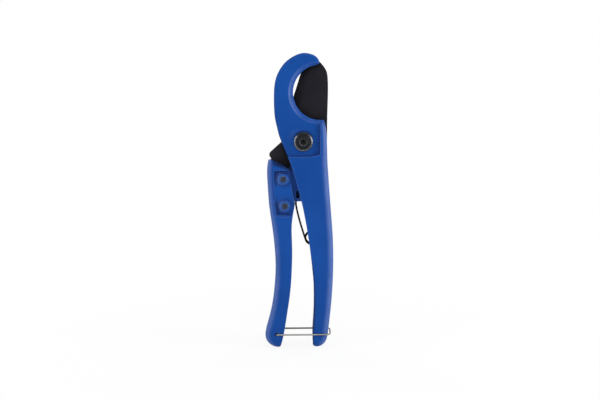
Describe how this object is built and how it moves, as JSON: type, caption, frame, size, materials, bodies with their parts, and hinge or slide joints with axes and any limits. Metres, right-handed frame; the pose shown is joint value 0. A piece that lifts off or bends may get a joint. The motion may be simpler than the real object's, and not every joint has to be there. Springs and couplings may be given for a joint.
{
  "type": "ratchet pipe cutter",
  "caption": "Hand-held ratcheting cutter for plastic pipe: hooked jaw, pivoting black blade, two channel grips, return spring and wire latch.",
  "frame": {"origin": "on the main pivot axis, at the middle of the blade's thickness", "axes": "+Z towards the top of the hook with the grips pointing down, +X towards the open side of the mouth, +Y along the pivot from the screw head towards the nut"},
  "size_m": [0.0534, 0.0262, 0.2295],
  "materials": {
    "blue_paint": "gloss",
    "blade_black": "satin",
    "rivet_steel": "satin",
    "washer_steel": "satin",
    "black_oxide": "satin",
    "hardened_steel": "satin",
    "spring_wire": "satin",
    "latch_wire": "bright"
  },
  "bodies": {
    "frame": {"frame_handle": "blue_paint", "pivot_screw": "black_oxide", "pivot_washer_front": "washer_steel", "pivot_washer_back": "washer_steel", "pivot_nut": "black_oxide", "pivot_bush": "hardened_steel", "blade_shim_front": "hardened_steel", "blade_shim_back": "hardened_steel", "wing_shim_front": "hardened_steel", "wing_shim_back": "hardened_steel", "return_spring": "spring_wire"},
    "lever": {"moving_handle": "blue_paint", "upper_rivet": "rivet_steel", "lower_rivet": "rivet_steel", "rivet_spacer": "hardened_steel", "pawl_washer_front": "hardened_steel", "pawl_washer_back": "hardened_steel", "pawl_spring": "spring_wire"},
    "blade": {"blade": "blade_black"},
    "pawl": {"drive_pawl": "hardened_steel"},
    "latch": {"latch_bail": "latch_wire"}
  },
  "joints": [
    {"name": "lever_swing", "type": "hinge", "parent": "frame", "child": "lever", "pos_m": [0, 0, 0], "axis": [0, 1, 0], "range_deg": [0, 22], "deforming": ["return_spring"]},
    {"name": "blade_swing", "type": "hinge", "parent": "frame", "child": "blade", "pos_m": [0, 0, 0], "axis": [0, 1, 0], "range_deg": [0, 75]},
    {"name": "pawl_swing", "type": "hinge", "parent": "lever", "child": "pawl", "pos_m": [-0.0154, 0, -0.0288], "axis": [0, 1, 0], "range_deg": [-8, 0], "stiffness_Nm_per_rad": 0.03, "springref_deg": 5.73, "deforming": ["pawl_spring"]},
    {"name": "latch_swing", "type": "hinge", "parent": "lever", "child": "latch", "pos_m": [-0.0209, 0, -0.1512], "axis": [0, 1, 0], "range_deg": [0, 220]}
  ],
  "couplings": [
    {"joint": "latch_swing", "follows": "lever_swing", "ratio": 10}
  ]
}
